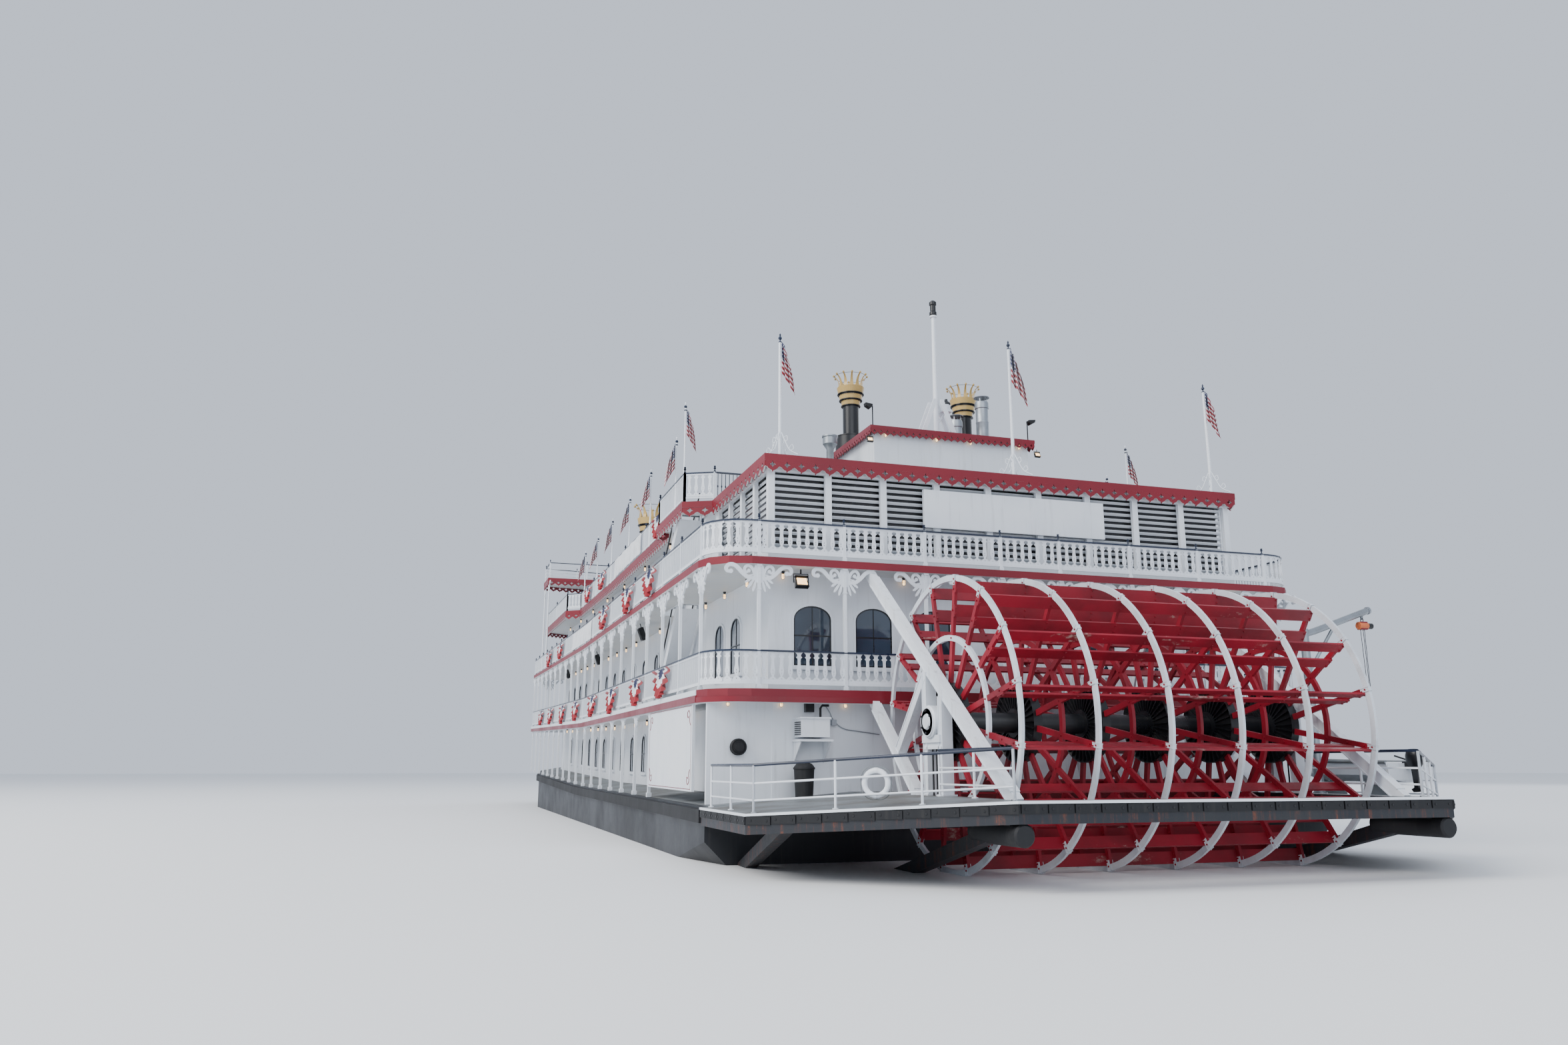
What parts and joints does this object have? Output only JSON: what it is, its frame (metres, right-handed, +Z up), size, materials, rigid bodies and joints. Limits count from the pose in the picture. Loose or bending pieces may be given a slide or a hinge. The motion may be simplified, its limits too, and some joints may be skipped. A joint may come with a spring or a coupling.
{
  "type": "sternwheel paddle boat scale model",
  "caption": "Half-scale sternwheel excursion boat: scow hull, three decks of railed promenades, crowned chimneys, pilothouse and a full-width turning paddle wheel astern.",
  "frame": {"origin": "on the hull's flat bottom, under the middle of the boat's length and beam", "axes": "+X to the bow, +Y to port, +Z up"},
  "size_m": [34.19, 10.215, 10.8686],
  "materials": {
    "white_paint": "satin white paint, weathered",
    "crimson_paint": "satin crimson paint",
    "wheel_red": "worn red paint with rust",
    "navy_paint": "satin dark blue paint",
    "black_paint": "satin black paint",
    "hull_black": "matt black paint, scuffed",
    "platform_grey": "dull grey deck paint, rusty",
    "galvanised": "galvanised sheet",
    "rubber": "matt black rubber",
    "window_glass": "dark tinted glass"
  },
  "bodies": {
    "boat": {"aft_chimney_port": "black_paint", "aft_chimney_starboard": "black_paint", "bridge_deck": "crimson_paint", "bridge_house": "white_paint", "bridge_house_glass": "window_glass", "bridge_rail": "white_paint", "deck_2": "crimson_paint", "deck_2_house": "white_paint", "deck_2_house_glass": "window_glass", "deck_2_rail": "white_paint", "deck_2_stair_port": "navy_paint", "deck_2_stair_starboard": "navy_paint", "deck_3": "crimson_paint", "deck_3_house": "white_paint", "deck_3_house_glass": "window_glass", "deck_3_rail": "white_paint", "deck_3_stair_port": "navy_paint", "deck_3_stair_starboard": "navy_paint", "flagpole_centre": "white_paint", "flagpole_port": "white_paint", "flagpole_starboard": "white_paint", "forward_chimney_port": "black_paint", "forward_chimney_starboard": "black_paint", "hull": "hull_black", "louvre_frame": "white_paint", "louvre_slats": "white_paint", "main_deck_columns": "white_paint", "main_house": "white_paint", "main_house_glass": "window_glass", "mast": "white_paint", "pilothouse": "white_paint", "pilothouse_glass": "window_glass", "pilothouse_roof": "crimson_paint", "platform_rail_port": "white_paint", "platform_rail_starboard": "white_paint", "rescue_boat": "white_paint", "roof_deck": "crimson_paint", "roof_rail": "white_paint", "rub_rail": "rubber", "sign_port": "white_paint", "sign_starboard": "white_paint", "sign_stern": "white_paint", "stern_platform": "platform_grey", "texas_house": "white_paint", "texas_roof": "crimson_paint", "vent_large": "galvanised", "vent_small": "galvanised", "wheel_carrier_port": "white_paint", "wheel_carrier_starboard": "white_paint"},
    "paddle_wheel": {"wheel_shaft": "black_paint", "wheel_frame_2": "wheel_red", "wheel_frame_3": "wheel_red", "wheel_frame_4": "wheel_red", "wheel_frame_5": "wheel_red", "wheel_end_frames_and_buckets": "wheel_red"},
    "rudder_port": {"rudder_port": "hull_black"},
    "rudder_starboard": {"rudder_starboard": "hull_black"},
    "davit": {"davit": "white_paint"},
    "pilothouse_door_port": {"pilothouse_door_port": "white_paint"},
    "pilothouse_door_starboard": {"pilothouse_door_starboard": "white_paint"}
  },
  "joints": [
    {"name": "paddle_wheel_spin", "type": "hinge", "parent": "boat", "child": "paddle_wheel", "pos_m": [-14.685, 0, 2.8], "axis": [0, 1, 0], "continuous": true},
    {"name": "rudder_port_turn", "type": "hinge", "parent": "boat", "child": "rudder_port", "pos_m": [-11.385, 1.75, 0.35], "axis": [0, 0, 1], "range_deg": [-35, 35]},
    {"name": "rudder_starboard_turn", "type": "hinge", "parent": "boat", "child": "rudder_starboard", "pos_m": [-11.385, -1.75, 0.35], "axis": [0, 0, 1], "range_deg": [-35, 35]},
    {"name": "davit_slew", "type": "hinge", "parent": "boat", "child": "davit", "pos_m": [-14.085, -3.7, 3.2], "axis": [0, 0, 1], "range_deg": [-90, 90]},
    {"name": "pilothouse_door_port_swing", "type": "hinge", "parent": "boat", "child": "pilothouse_door_port", "pos_m": [10.965, 1.33, 9.2], "axis": [0, 0, 1], "range_deg": [0, 95]},
    {"name": "pilothouse_door_starboard_swing", "type": "hinge", "parent": "boat", "child": "pilothouse_door_starboard", "pos_m": [10.965, -1.33, 9.2], "axis": [0, 0, 1], "range_deg": [-95, 0]}
  ],
  "couplings": [
    {"joint": "rudder_starboard_turn", "follows": "rudder_port_turn", "ratio": 1}
  ]
}
